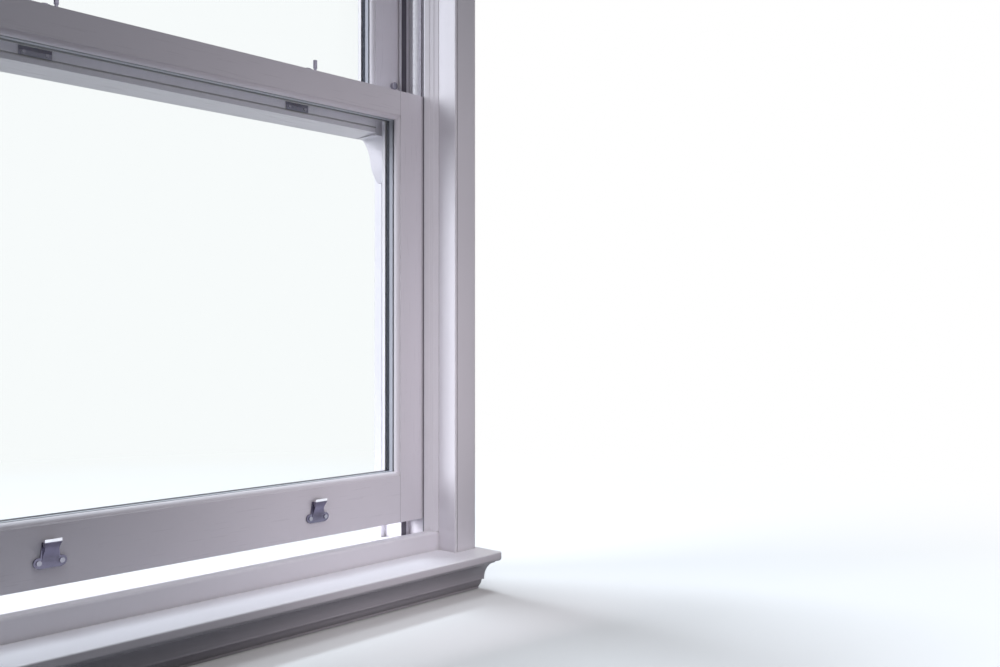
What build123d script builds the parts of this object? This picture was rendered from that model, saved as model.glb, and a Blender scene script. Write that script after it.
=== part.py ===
from build123d import *
import os

# A vertically sliding sash window in its timber frame, without the wall.
# X runs to the right as seen from the room, Y runs outdoors and Z runs up.
# The origin is the middle of the sill's underside, under the parting beads.

# Driving dimensions, in millimetres
opening_width = 954.0
sash_height = 780.0
sash_thickness = 58.0
sash_gap = 10.0
sash_side_clearance = 3.0
lower_sash_raise = 30.0
sash_overlap_when_open = 180.0

# Sash members, seen from the room
stile_width = 80.5
top_rail_height = 66.0
lower_meeting_rail_height = 52.0
upper_meeting_rail_height = 40.0
bottom_rail_height = 92.0
moulding_width = 8.0
moulding_depth = 9.0
moulding_quirk = 1.5
arris_radius = 1.0

# Sealed glass units
rebate_width = 14.0
glass_edge_gap = 2.0
pane_thickness = 4.0
cavity_depth = 16.0
glazing_bead_depth = 16.0
glazing_bead_slope = 8.0
glazing_bead_edge = 2.0
glazing_bead_joint = 0.3

# Horns under the upper sash
horn_length = 78.0
horn_top_width = 56.0
horn_tip_width = 18.0
horn_hollow = 6.0
horn_swell = 5.0

# Meeting rails
upper_rail_bevel_depth = 5.0
upper_rail_bevel_height = 12.0
upper_rail_groove_rise = 12.0
upper_rail_groove_height = 3.0
upper_rail_groove_depth = 4.0
upper_rail_drip_fall = 4.0

# Frame
jamb_thickness = 34.0
sash_running_gap = 1.5
parting_bead_thickness = 8.0
parting_bead_projection = 20.0
parting_bead_housing = 8.0
staff_bead_projection = 21.0
staff_bead_depth = 22.0
staff_bead_square = 4.0
staff_bead_reed_count = 3
staff_bead_reed_run = 5.4
staff_bead_reed_step = 0.8
outer_lining_thickness = 20.0
outer_lining_projection = 10.0
reveal_lining_thickness = 20.0
reveal_lining_step = 2.0
reveal_depth = 42.5
architrave_width = 61.0
architrave_thickness = 18.0
architrave_rebate = 2.0
architrave_outer_radius = 14.0
arris_bead_width = 5.0
arris_bead_quirk = 1.5
frame_fixing_hole_radius = 4.0
fixing_hole_from_end = 180.0
fixing_hole_spacing = 300.0
fixing_hole_from_bead = 11.0

# Sill, window board and the moulding under it
sill_seat_height = 100.0
sill_slope_run = 200.0
sill_slope_fall = 32.0
sill_nose_overhang = 70.0
sill_nose_height = 34.0
sill_drip_width = 8.0
sill_drip_depth = 6.0
sill_drip_from_edge = 14.0
sill_nose_radius = 4.0
closing_gap = 3.0
seat_above_board = 24.0
board_thickness = 16.0
board_overhang = 58.0
board_end_overhang = 4.0
board_corner_radius = 6.0
board_top_radius = 2.5
board_nosing_radius = 5.0
bottom_bead_height = 33.0
bottom_bead_radius = 4.0
bed_mould_height = 58.0
bed_mould_top_projection = 64.0
bed_mould_top_fillet = 4.0
bed_mould_hollow_projection = 37.0
bed_mould_hollow_height = 31.0
bed_mould_hollow_radius = 34.0
bed_mould_square_height = 3.0
bed_mould_quirk_depth = 6.0
bed_mould_foot_projection = 23.0
bed_mould_foot_height = 4.0
bed_mould_swell_radius = 22.0
bed_mould_end_inset = 8.0

# Spiral balances
balance_tube_radius = 8.0
balance_tube_bore_radius = 6.5
balance_tube_clearance = 0.3
balance_groove_depth = 23.0
balance_groove_width = 24.0
balance_groove_end = 10.0
balance_rod_radius = 3.0
balance_rod_clearance = 0.3
balance_rod_engagement = 45.0
balance_tube_end_gap = 12.0
balance_bush_flange = 3.0
balance_bush_spigot = 18.0
balance_bush_clearance = 0.1
balance_tube_spare = 40.0
bracket_plate = 3.0
bracket_boss_radius = 5.0
bracket_boss_height = 6.0
bracket_clearance = 1.5
tube_screw_radius = 2.0
tube_screw_head_radius = 4.0
tube_screw_head_height = 2.5
tube_screw_from_top = 15.0
tube_screw_length = 45.0
tube_screw_clearance = 0.3
pilot_clearance = 0.05

# Brush seals
seal_thickness = 4.0
seal_height = 3.5
seal_from_top = 20.0
bottom_seal_height = 2.0
bottom_seal_width = 8.0

# Furniture, two of each, set out from the middle of the window. The lifts stand a little left of that
furniture_offset = 222.0
lift_set_left = 8.0
lift_rise = 26.0
lift_plate_thickness = 3.0
lift_ear_radius = 7.0
lift_ear_spacing = 31.0
lift_ear_height = 8.0
lift_height = 40.0
lift_top_width = 21.0
lift_waist_width = 18.5
lift_foot_width = 26.0
lift_lip_width = 23.0
lift_lip_height = 5.0
lift_reach = 13.0
lift_root_height = 24.0
lift_root_rise = 4.0
lift_sag = 2.4
lift_top_sag = 1.8
lift_waist_rise = 25.0
furniture_screw_radius = 1.75
furniture_screw_head_radius = 3.5
furniture_screw_head_height = 1.8
furniture_screw_length = 25.0
furniture_screw_clearance = 0.2

# Fasteners on the meeting rails
fastener_from_back = 21.0
fastener_base_length = 52.0
fastener_base_width = 24.0
fastener_base_thickness = 3.0
fastener_base_corner = 6.0
fastener_screw_spacing = 40.0
fastener_post_radius = 7.0
fastener_post_height = 3.0
fastener_pin_radius = 3.0
fastener_pin_clearance = 0.06
fastener_pin_head_radius = 5.0
fastener_pin_head_height = 1.5
fastener_pin_end_gap = 0.3
fastener_arm_thickness = 4.0
fastener_arm_reach = 34.5
fastener_arm_tip_radius = 5.0
fastener_hub_radius = 8.5
fastener_hub_gap = 0.2
fastener_tail_reach = 16.0
fastener_tail_radius = 5.0
fastener_knob_radius = 3.5
fastener_knob_height = 14.0
fastener_knob_neck_radius = 2.5
fastener_knob_neck_height = 5.0
keep_width = 46.0
keep_plate = 2.5
keep_flange_height = 28.5
keep_depth = 11.0
keep_mouth_height = 9.0
keep_mouth_set_back = 3.0
keep_ridge_height = 2.5
keep_ridge_length = 40.0
keep_ridge_depth = 1.0
keep_ridge_spacing = 4.5
keep_ridge_rise = 18.5
keep_ridge_count = 3
keep_screw_spacing = 32.0
keep_screw_rise = 5.0
keep_screw_radius = 1.5
keep_screw_head_radius = 2.5
keep_screw_head_height = 1.2
keep_screw_length = 16.0

# Stop studs on the upper stiles
stud_from_sash_edge = 30.5
stud_above_rail = 58.0
stud_radius = 6.5
stud_projection = 7.0
stud_neck_radius = 4.0
stud_neck_depth = 12.0

# Levels and planes that follow from the sizes above
half_opening = opening_width / 2
sash_travel = sash_height - sash_overlap_when_open
board_top_height = sill_seat_height - seat_above_board
half_sash = half_opening - sash_side_clearance
stud_offset = half_sash - stud_from_sash_edge
sight_x = half_sash - stile_width
face_edge_x = sight_x + moulding_width
inner_sash_back = -sash_gap / 2
inner_sash_front = inner_sash_back - sash_thickness
outer_sash_front = sash_gap / 2
outer_sash_back = outer_sash_front + sash_thickness
staff_back = inner_sash_front - sash_running_gap
staff_front = staff_back - staff_bead_depth
outer_lining_front = outer_sash_back + sash_running_gap
outer_lining_back = outer_lining_front + outer_lining_thickness
reveal_front = staff_front - reveal_depth
architrave_back = reveal_front + architrave_thickness
lower_closed_bottom = sill_seat_height + closing_gap
lower_bottom = lower_closed_bottom + lower_sash_raise
lower_top = lower_bottom + sash_height
closed_top = lower_closed_bottom + sash_height
upper_bottom = closed_top - upper_meeting_rail_height
upper_top = upper_bottom + sash_height
head_underside = upper_top + sash_side_clearance
head_top = head_underside + jamb_thickness
half_frame = half_opening + jamb_thickness
reveal_x = half_opening - reveal_lining_step
reveal_top = head_underside - reveal_lining_step
staff_x = half_opening - staff_bead_projection
staff_head = head_underside - staff_bead_projection
half_board = reveal_x + architrave_width + board_end_overhang
board_front = reveal_front - board_overhang
lower_sight_bottom = lower_bottom + bottom_rail_height
lower_sight_top = lower_top - lower_meeting_rail_height
upper_sight_bottom = closed_top
upper_sight_top = upper_top - top_rail_height
sill_slope = sill_slope_fall / sill_slope_run
sill_back = outer_lining_back + sill_nose_overhang
rail_bevel_fall = sash_thickness * sill_slope
tube_x = half_opening - balance_tube_radius - balance_tube_clearance
inner_tube_y = (inner_sash_front + inner_sash_back) / 2
outer_tube_y = (outer_sash_front + outer_sash_back) / 2
rod_length = sash_travel + lower_sash_raise + balance_rod_engagement

# How far a cutting solid runs past the face that it cuts
cut_margin = 1.0

# Section planes: across a stile, and across a rail with its x pointing up and its y outdoors
stile_section = Plane.XY
rail_section = Plane(origin=(0, 0, 0), x_dir=(0, 0, 1), z_dir=(-1, 0, 0))


def front_view(y):
    """The plane that is seen from the room, with x to the right and y up, at depth y."""
    return Plane.XZ.offset(-y)


def side_view(x):
    """The plane across the window at x, with x pointing outdoors and y up."""
    return Plane.YZ.offset(x)


def save(piece, name):
    """Name one finished piece and write it."""
    piece.part.label = name
    export_step(piece.part, f"parts/{name}.step")


def sill_outline():
    """Section of the sill: room side, bead seat, upstand, weathered slope, nose and drip."""
    slope_end = sill_seat_height - (sill_back - staff_back) * sill_slope
    drip = sill_back - sill_drip_from_edge
    with BuildSketch(side_view(0)) as outline:
        with BuildLine():
            Polyline(
                (staff_front, 0),
                (staff_front, board_top_height),
                (staff_back, board_top_height),
                (staff_back, sill_seat_height),
                (sill_back, slope_end),
                (sill_back, slope_end - sill_nose_height),
                (drip, slope_end - sill_nose_height),
                (drip, slope_end - sill_nose_height + sill_drip_depth),
                (drip - sill_drip_width, slope_end - sill_nose_height + sill_drip_depth),
                (drip - sill_drip_width, slope_end - sill_nose_height),
                (outer_lining_back, slope_end - sill_nose_height),
                (outer_lining_back, 0),
                close=True,
            )
        make_face()
    return outline.sketch


def mitred_outline(side, y, inner_x, outer_x, inner_z, outer_z, foot_z):
    """Front view of an upright board whose top is mitred to the board over it."""
    with BuildSketch(front_view(y)) as outline:
        with BuildLine():
            Polyline(
                (side * inner_x, foot_z),
                (side * outer_x, foot_z),
                (side * outer_x, outer_z),
                (side * inner_x, inner_z),
                close=True,
            )
        make_face()
    return outline.sketch


def head_outline(y, inner_x, outer_x, inner_z, outer_z):
    """Front view of a board over the opening, mitred at both ends."""
    with BuildSketch(front_view(y)) as outline:
        with BuildLine():
            Polyline(
                (-inner_x, inner_z),
                (inner_x, inner_z),
                (outer_x, outer_z),
                (-outer_x, outer_z),
                close=True,
            )
        make_face()
    return outline.sketch


os.makedirs("parts", exist_ok=True)


# Frame: the sill runs the full width under both jambs
def make_sill():
    with BuildPart() as sill:
        extrude(sill_outline(), amount=half_frame, both=True)
        nose = sill.edges().filter_by(Axis.X).group_by(Axis.Y)[-1]
        fillet(nose.sort_by(Axis.Z)[-1], radius=sill_nose_radius)
    save(sill, "sill")


def make_jamb(side, name):
    """A jamb stands on the sill. It is grooved for its parting bead and drilled for its fixings."""
    depth = outer_lining_front - staff_front
    middle = (outer_lining_front + staff_front) / 2
    hole_y = parting_bead_thickness / 2 + fixing_hole_from_bead
    screw_z = {inner_tube_y: lower_tube_top - tube_screw_from_top,
               outer_tube_y: upper_tube_top - tube_screw_from_top}
    with BuildPart() as jamb:
        with BuildSketch(Plane.XY):
            with Locations((side * (half_opening + jamb_thickness / 2), middle)):
                Rectangle(jamb_thickness, depth)
            with Locations((side * (half_opening + parting_bead_housing / 2), 0)):
                Rectangle(parting_bead_housing, parting_bead_thickness, mode=Mode.SUBTRACT)
        extrude(amount=head_underside)
        extrude(sill_outline(), amount=half_frame, both=True, mode=Mode.SUBTRACT)
        with BuildSketch(side_view(side * half_opening)):
            for first, y in ((head_underside - fixing_hole_from_end - fixing_hole_spacing, -hole_y),
                             (sill_seat_height + fixing_hole_from_end, hole_y)):
                with Locations((y, first), (y, first + fixing_hole_spacing)):
                    Circle(frame_fixing_hole_radius)
        extrude(amount=side * jamb_thickness, mode=Mode.SUBTRACT)
        with BuildSketch(side_view(side * half_opening)):
            for y, z in screw_z.items():
                with Locations((y, z)):
                    Circle(tube_screw_radius + pilot_clearance)
        extrude(amount=side * jamb_thickness, mode=Mode.SUBTRACT)
    save(jamb, name)


def make_head():
    depth = outer_lining_front - staff_front
    middle = (outer_lining_front + staff_front) / 2
    with BuildPart() as head:
        with BuildSketch(side_view(0)):
            with Locations((middle, head_underside + jamb_thickness / 2)):
                Rectangle(depth, jamb_thickness)
            with Locations((0, head_underside + parting_bead_housing / 2)):
                Rectangle(parting_bead_thickness, parting_bead_housing, mode=Mode.SUBTRACT)
        extrude(amount=half_frame, both=True)
    save(head, "head")


def make_outer_linings():
    """Boards on the outdoor side that stand past the jambs and hold the upper sash in."""
    inner_x = half_opening - outer_lining_projection
    for side, name in ((-1, "outer_lining_left"), (1, "outer_lining_right")):
        with BuildPart() as lining:
            with BuildSketch(front_view(outer_lining_front)):
                with Locations((side * (inner_x + half_frame) / 2, head_top / 2)):
                    Rectangle(half_frame - inner_x, head_top)
            extrude(amount=-outer_lining_thickness)
            extrude(sill_outline(), amount=half_frame, both=True, mode=Mode.SUBTRACT)
        save(lining, name)
    low = head_underside - outer_lining_projection
    with BuildPart() as head_lining:
        with BuildSketch(front_view(outer_lining_front)):
            with Locations((0, (low + head_top) / 2)):
                Rectangle(2 * inner_x, head_top - low)
        extrude(amount=-outer_lining_thickness)
    save(head_lining, "outer_lining_head")


def make_reveal_linings():
    """Boards that line the reveal from the beads to the rebates behind the architraves."""
    depth = staff_front - architrave_back + architrave_rebate
    outer_x = reveal_x + reveal_lining_thickness
    for side, name in ((-1, "reveal_lining_left"), (1, "reveal_lining_right")):
        with BuildPart() as lining:
            with BuildSketch(front_view(staff_front)):
                with Locations((side * (reveal_x + outer_x) / 2, (board_top_height + reveal_top) / 2)):
                    Rectangle(reveal_lining_thickness, reveal_top - board_top_height)
            extrude(amount=depth)
        save(lining, name)
    with BuildPart() as head_lining:
        with BuildSketch(front_view(staff_front)):
            with Locations((0, reveal_top + reveal_lining_thickness / 2)):
                Rectangle(2 * outer_x, reveal_lining_thickness)
        extrude(amount=depth)
    save(head_lining, "reveal_lining_head")


def rounded_corner(corner_u, corner_v, step_u, step_v):
    """The sliver outside a rounded corner. The steps lead from the corner into the timber."""
    diagonal = 1 - 0.5 ** 0.5
    with BuildSketch() as sliver:
        with BuildLine():
            Polyline(
                (corner_u + step_u, corner_v),
                (corner_u + step_u, corner_v - step_v),
                (corner_u - step_u, corner_v - step_v),
                (corner_u - step_u, corner_v + step_v),
                (corner_u, corner_v + step_v),
            )
            ThreePointArc(
                (corner_u, corner_v + step_v),
                (corner_u + step_u * diagonal, corner_v + step_v * diagonal),
                (corner_u + step_u, corner_v),
            )
        make_face()
    return sliver.sketch


def arris_bead_waste(section, inner, outer, outward):
    """The quirk and round that leave a bead along an architrave's inner edge, and its round back."""
    quirk_middle = inner + outward * (arris_bead_width + arris_bead_quirk / 2)
    with BuildSketch(section) as waste:
        add(rounded_corner(inner, reveal_front, outward * arris_bead_width / 2, arris_bead_width / 2))
        add(rounded_corner(outer, reveal_front, -outward * architrave_outer_radius,
                           architrave_outer_radius))
        with Locations((quirk_middle, reveal_front)):
            Rectangle(arris_bead_quirk, 2 * arris_bead_quirk)
    return waste.sketch


def make_architraves():
    """Architraves mitred at the corners, with a bead along the inner edge and a round outer one.
    Each is rebated at the back over the reveal lining, so the rest of its back lies on the wall."""
    outer_x = reveal_x + architrave_width
    outer_z = reveal_top + architrave_width
    lining_x = reveal_x + reveal_lining_thickness
    lining_z = reveal_top + reveal_lining_thickness
    with BuildPart() as lining_edge:
        with BuildSketch(front_view(architrave_back)):
            with Locations((0, lining_z / 2)):
                Rectangle(2 * lining_x, lining_z)
        extrude(amount=architrave_rebate)
    for side, name in ((-1, "architrave_left"), (1, "architrave_right")):
        with BuildPart() as architrave:
            outline = mitred_outline(side, reveal_front, reveal_x, outer_x, reveal_top, outer_z,
                                     board_top_height)
            extrude(outline, amount=-architrave_thickness)
            waste = arris_bead_waste(stile_section, side * reveal_x, side * outer_x, side)
            extrude(waste, amount=outer_z, mode=Mode.SUBTRACT)
            add(lining_edge.part, mode=Mode.SUBTRACT)
        save(architrave, name)
    with BuildPart() as head_architrave:
        extrude(head_outline(reveal_front, reveal_x, outer_x, reveal_top, outer_z),
                amount=-architrave_thickness)
        waste = arris_bead_waste(rail_section, reveal_top, outer_z, 1)
        extrude(waste, amount=outer_x, both=True, mode=Mode.SUBTRACT)
        add(lining_edge.part, mode=Mode.SUBTRACT)
    save(head_architrave, "architrave_head")


def staff_bead_waste(section, inner, outward):
    """What is planed off a staff bead to leave slanting reeds from its inner edge to its front."""
    reed_rise = (staff_bead_depth - staff_bead_square) / staff_bead_reed_count
    u = inner
    v = staff_back - staff_bead_square
    points = [(inner - outward * cut_margin, v), (u, v)]
    for _ in range(staff_bead_reed_count):
        u += outward * staff_bead_reed_run
        v -= reed_rise
        points.append((u, v))
        u += outward * staff_bead_reed_step
        points.append((u, v))
    points[-1] = (points[-2][0], staff_front - cut_margin)
    points.append((inner - outward * cut_margin, staff_front - cut_margin))
    with BuildSketch(section) as waste:
        with BuildLine():
            Polyline(*points, close=True)
        make_face()
    return waste.sketch


def make_staff_beads():
    """Beads that hold the lower sash in on the room side. The uprights stand on the bottom bead."""
    for side, name in ((-1, "staff_bead_left"), (1, "staff_bead_right")):
        with BuildPart() as bead:
            outline = mitred_outline(side, staff_front, staff_x, half_opening, staff_head,
                                     head_underside, board_top_height + bottom_bead_height)
            extrude(outline, amount=-staff_bead_depth)
            extrude(staff_bead_waste(stile_section, side * staff_x, side), amount=head_top,
                    mode=Mode.SUBTRACT)
        save(bead, name)
    with BuildPart() as head_bead:
        extrude(head_outline(staff_front, staff_x, half_opening, staff_head, head_underside),
                amount=-staff_bead_depth)
        extrude(staff_bead_waste(rail_section, staff_head, 1), amount=half_frame, both=True,
                mode=Mode.SUBTRACT)
    save(head_bead, "staff_bead_head")


def make_parting_beads():
    """Thin beads housed in the jambs and the head, which part the two sashes."""
    width = parting_bead_projection + parting_bead_housing
    side_middle = half_opening + parting_bead_housing - width / 2
    for side, name in ((-1, "parting_bead_left"), (1, "parting_bead_right")):
        with BuildPart() as bead:
            with BuildSketch(Plane.XY):
                with Locations((side * side_middle, 0)):
                    Rectangle(width, parting_bead_thickness)
            extrude(amount=head_underside)
            inner_edges = bead.edges().filter_by(Axis.Z).sort_by(Axis.X)
            fillet(inner_edges[:2] if side > 0 else inner_edges[-2:], radius=arris_radius)
            extrude(sill_outline(), amount=half_frame, both=True, mode=Mode.SUBTRACT)
        save(bead, name)
    inner_x = half_opening - parting_bead_projection
    with BuildPart() as head_bead:
        with BuildSketch(side_view(0)):
            with Locations((0, head_underside + parting_bead_housing - width / 2)):
                Rectangle(parting_bead_thickness, width)
        extrude(amount=inner_x, both=True)
        fillet(head_bead.edges().filter_by(Axis.X).group_by(Axis.Z)[0], radius=arris_radius)
    save(head_bead, "parting_bead_head")


def make_bottom_bead():
    """The deep bead on the sill in front of the lower sash, which the upright beads stand on."""
    top = board_top_height + bottom_bead_height
    with BuildPart() as bead:
        with BuildSketch(side_view(0)):
            with Locations(((staff_front + staff_back) / 2, (board_top_height + top) / 2)):
                Rectangle(staff_bead_depth, bottom_bead_height)
        extrude(amount=half_opening, both=True)
        front_top = bead.edges().filter_by(Axis.X).group_by(Axis.Z)[-1].sort_by(Axis.Y)[0]
        fillet(front_top, radius=bottom_bead_radius)
    save(bead, "bottom_bead")


def make_window_board():
    """The board inside. Its nosing is eased above, rounded below and returned at both ends."""
    low = board_top_height - board_thickness
    with BuildPart() as board:
        with BuildSketch(Plane.XY.offset(low)):
            with Locations((0, (board_front + staff_front) / 2)):
                Rectangle(2 * half_board, staff_front - board_front)
        extrude(amount=board_thickness)
        corners = board.edges().filter_by(Axis.Z).group_by(Axis.Y)[0]
        fillet(corners, radius=board_corner_radius)
        for level, radius in ((-1, board_top_radius), (0, board_nosing_radius)):
            rims = board.edges().filter_by(Plane.XY).group_by(Axis.Z)[level]
            back = rims.filter_by(GeomType.LINE).filter_by(Axis.X).group_by(Axis.Y)[-1]
            fillet(rims - back, radius=radius)
    save(board, "window_board")


def make_bed_mould():
    """The moulding that carries the window board's overhang: a hollow over a quirk and a swell."""
    top = board_top_height - board_thickness
    foot = top - bed_mould_height
    wall = architrave_back
    brow = (wall - bed_mould_top_projection, top - bed_mould_top_fillet)
    ledge = (wall - bed_mould_hollow_projection, brow[1] - bed_mould_hollow_height)
    quirk = (ledge[0] + bed_mould_quirk_depth, ledge[1] - bed_mould_square_height)
    toe = (wall - bed_mould_foot_projection, foot + bed_mould_foot_height)
    with BuildPart() as mould:
        with BuildSketch(side_view(0)):
            with BuildLine():
                Polyline(toe, (toe[0], foot), (wall, foot), (wall, top), (brow[0], top), brow)
                RadiusArc(brow, ledge, bed_mould_hollow_radius)
                Polyline(ledge, (ledge[0], quirk[1]), quirk)
                RadiusArc(quirk, toe, -bed_mould_swell_radius)
            make_face()
        extrude(amount=half_board - bed_mould_end_inset, both=True)
    save(mould, "bed_mould")


# Spiral balances: the tubes hang on the jambs and the rods draw out of their lower ends
lower_tube_foot = lower_bottom + sash_travel + balance_groove_end + bracket_plate + balance_tube_end_gap
lower_tube_top = lower_tube_foot + rod_length + balance_tube_spare
upper_tube_foot = upper_bottom + balance_groove_end + bracket_plate + balance_tube_end_gap
upper_tube_top = upper_tube_foot + rod_length + balance_tube_spare


def make_balance_tube(side, y, foot, top, name):
    """A drawn tube with a screw hole through both walls near its top."""
    with BuildPart() as tube:
        with BuildSketch(Plane.XY.offset(foot)):
            with Locations((side * tube_x, y)):
                Circle(balance_tube_radius)
                Circle(balance_tube_bore_radius, mode=Mode.SUBTRACT)
        extrude(amount=top - foot)
        with BuildSketch(side_view(0)):
            with Locations((y, top - tube_screw_from_top)):
                Circle(tube_screw_radius + tube_screw_clearance)
        extrude(amount=side * half_frame, mode=Mode.SUBTRACT)
    save(tube, name)


def make_balance_tubes():
    for side, word in ((-1, "left"), (1, "right")):
        make_balance_tube(side, inner_tube_y, lower_tube_foot, lower_tube_top,
                          f"lower_balance_tube_{word}")
        make_balance_tube(side, outer_tube_y, upper_tube_foot, upper_tube_top,
                          f"upper_balance_tube_{word}")


def make_balance_bushes():
    """Nylon bushes in the lower ends of the tubes, which the rods run through."""
    with BuildPart() as bushes:
        for y, foot in ((inner_tube_y, lower_tube_foot), (outer_tube_y, upper_tube_foot)):
            with BuildSketch(Plane.XY.offset(foot - balance_bush_flange)):
                with Locations((-tube_x, y), (tube_x, y)):
                    Circle(balance_tube_radius)
            extrude(amount=balance_bush_flange)
            with BuildSketch(Plane.XY.offset(foot)):
                with Locations((-tube_x, y), (tube_x, y)):
                    Circle(balance_tube_bore_radius - balance_bush_clearance)
            extrude(amount=balance_bush_spigot)
            with BuildSketch(Plane.XY.offset(foot - balance_bush_flange)):
                with Locations((-tube_x, y), (tube_x, y)):
                    Circle(balance_rod_radius + balance_rod_clearance)
            extrude(amount=balance_bush_flange + balance_bush_spigot, mode=Mode.SUBTRACT)
    save(bushes, "balance_bushes")


def make_tube_screws():
    """One screw holds each tube to its jamb."""
    head_x = tube_x - balance_tube_radius
    with BuildPart() as screws:
        for side in (-1, 1):
            for y, top in ((inner_tube_y, lower_tube_top), (outer_tube_y, upper_tube_top)):
                z = top - tube_screw_from_top
                with BuildSketch(side_view(side * head_x)):
                    with Locations((y, z)):
                        Circle(tube_screw_head_radius)
                extrude(amount=-side * tube_screw_head_height)
                with BuildSketch(side_view(side * head_x)):
                    with Locations((y, z)):
                        Circle(tube_screw_radius)
                extrude(amount=side * tube_screw_length)
    save(screws, "balance_tube_screws")


# Sashes: both are made by the same rules, the upper one a sash and a gap further out
def moulding_waste(section, sight, outward, front):
    """What is planed off in front of the sight line to leave a quirk and an ovolo."""
    face_edge = sight + outward * moulding_width
    quirk = front + moulding_quirk
    deep = front + moulding_depth
    diagonal = 1 - 0.5 ** 0.5
    start = (face_edge, quirk)
    middle = (sight + outward * moulding_width * diagonal, quirk + (deep - quirk) * diagonal)
    end = (sight, deep)
    with BuildSketch(section) as waste:
        with BuildLine():
            Polyline(
                end,
                (sight - outward * cut_margin, deep),
                (sight - outward * cut_margin, front - cut_margin),
                (face_edge, front - cut_margin),
                start,
            )
            ThreePointArc(start, middle, end)
        make_face()
    return waste.sketch


def rebate_outline(y, sight_bottom, sight_top):
    """Front view of the rebate that the glass lies in."""
    with BuildSketch(front_view(y)) as outline:
        with Locations((0, (sight_bottom + sight_top) / 2)):
            Rectangle(2 * (sight_x + rebate_width), sight_top - sight_bottom + 2 * rebate_width)
    return outline.sketch


def make_stile(side, front, outline, sight_bottom, sight_top, groove_foot, groove_top, waste, name):
    """A stile with its moulding, rebate and the groove in its edge that clears the balance."""
    groove_y = front + sash_thickness / 2
    with BuildPart() as stile:
        extrude(outline, amount=-sash_thickness)
        extrude(rebate_outline(front + moulding_depth, sight_bottom, sight_top),
                amount=-sash_thickness, mode=Mode.SUBTRACT)
        extrude(moulding_waste(stile_section, side * sight_x, side, front), amount=head_top,
                mode=Mode.SUBTRACT)
        with BuildSketch(Plane.XY.offset(groove_foot)):
            with Locations((side * (half_sash - balance_groove_depth / 2), groove_y)):
                Rectangle(balance_groove_depth, balance_groove_width)
        extrude(amount=groove_top - groove_foot, mode=Mode.SUBTRACT)
        add(waste, mode=Mode.SUBTRACT)
    save(stile, name)


def stile_outline(side, front, foot, top, sight_bottom, sight_top):
    """Front view of a stile. Its moulding is mitred to the rails at both sight line corners."""
    with BuildSketch(front_view(front)) as outline:
        with BuildLine():
            Polyline(
                (side * half_sash, foot),
                (side * half_sash, top),
                (side * face_edge_x, top),
                (side * face_edge_x, sight_top + moulding_width),
                (side * sight_x, sight_top),
                (side * sight_x, sight_bottom),
                (side * face_edge_x, sight_bottom - moulding_width),
                (side * face_edge_x, foot),
                close=True,
            )
        make_face()
    return outline.sketch


def horn_outline(side):
    """Front view of the horn below the upper sash: a hollow above a swell."""
    top_x = half_sash - horn_top_width
    tip_x = half_sash - horn_tip_width
    middle = ((top_x + tip_x) / 2, upper_bottom - horn_length / 2)
    upper = ((top_x + middle[0]) / 2 + horn_hollow / 2, upper_bottom - horn_length / 4 + horn_hollow / 2)
    lower = ((middle[0] + tip_x) / 2 - horn_swell / 2, upper_bottom - 3 * horn_length / 4 - horn_swell / 2)
    with BuildSketch(front_view(outer_sash_front)) as outline:
        with BuildLine():
            Polyline(
                (side * tip_x, upper_bottom - horn_length),
                (side * half_sash, upper_bottom - horn_length),
                (side * half_sash, upper_bottom + cut_margin),
                (side * top_x, upper_bottom + cut_margin),
                (side * top_x, upper_bottom),
            )
            ThreePointArc((side * top_x, upper_bottom), (side * upper[0], upper[1]),
                          (side * middle[0], middle[1]))
            ThreePointArc((side * middle[0], middle[1]), (side * lower[0], lower[1]),
                          (side * tip_x, upper_bottom - horn_length))
        make_face()
    return outline.sketch


def rail_outline(front, foot, top, sight, upward):
    """Front view of a rail between the stiles. Upward is 1 where the timber lies above the glass."""
    far = top if upward > 0 else foot
    face_edge = sight + upward * moulding_width
    with BuildSketch(front_view(front)) as outline:
        with BuildLine():
            Polyline(
                (-face_edge_x, far),
                (-face_edge_x, face_edge),
                (-sight_x, sight),
                (sight_x, sight),
                (face_edge_x, face_edge),
                (face_edge_x, far),
                close=True,
            )
        make_face()
    return outline.sketch


def sill_bevel(foot):
    """What comes off the lower sash's foot so that it sits along the sill's slope."""
    with BuildSketch(side_view(0)) as bevel:
        with BuildLine():
            Polyline(
                (inner_sash_front - cut_margin, foot + cut_margin * sill_slope),
                (inner_sash_back + cut_margin, foot - rail_bevel_fall - cut_margin * sill_slope),
                (inner_sash_back + cut_margin, foot - 2 * rail_bevel_fall - cut_margin),
                (inner_sash_front - cut_margin, foot - 2 * rail_bevel_fall - cut_margin),
                close=True,
            )
        make_face()
    return bevel.sketch


def make_panes(front, sight_bottom, sight_top, word):
    """The sealed unit: a pane bedded on the rebate, a spacer all round and the outer pane."""
    cover = rebate_width - glass_edge_gap
    middle = (sight_bottom + sight_top) / 2
    width = 2 * (sight_x + cover)
    height = sight_top - sight_bottom + 2 * cover
    bed = front + moulding_depth
    outer_bed = bed + pane_thickness + cavity_depth
    for name, y in ((f"{word}_pane_inner", bed), (f"{word}_pane_outer", outer_bed)):
        with BuildPart() as pane:
            with BuildSketch(front_view(y)):
                with Locations((0, middle)):
                    Rectangle(width, height)
            extrude(amount=-pane_thickness)
        save(pane, name)
    with BuildPart() as spacer:
        with BuildSketch(front_view(bed + pane_thickness)):
            with Locations((0, middle)):
                Rectangle(width, height)
                Rectangle(2 * sight_x, sight_top - sight_bottom, mode=Mode.SUBTRACT)
        extrude(amount=-cavity_depth)
    save(spacer, f"{word}_spacer")


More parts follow.
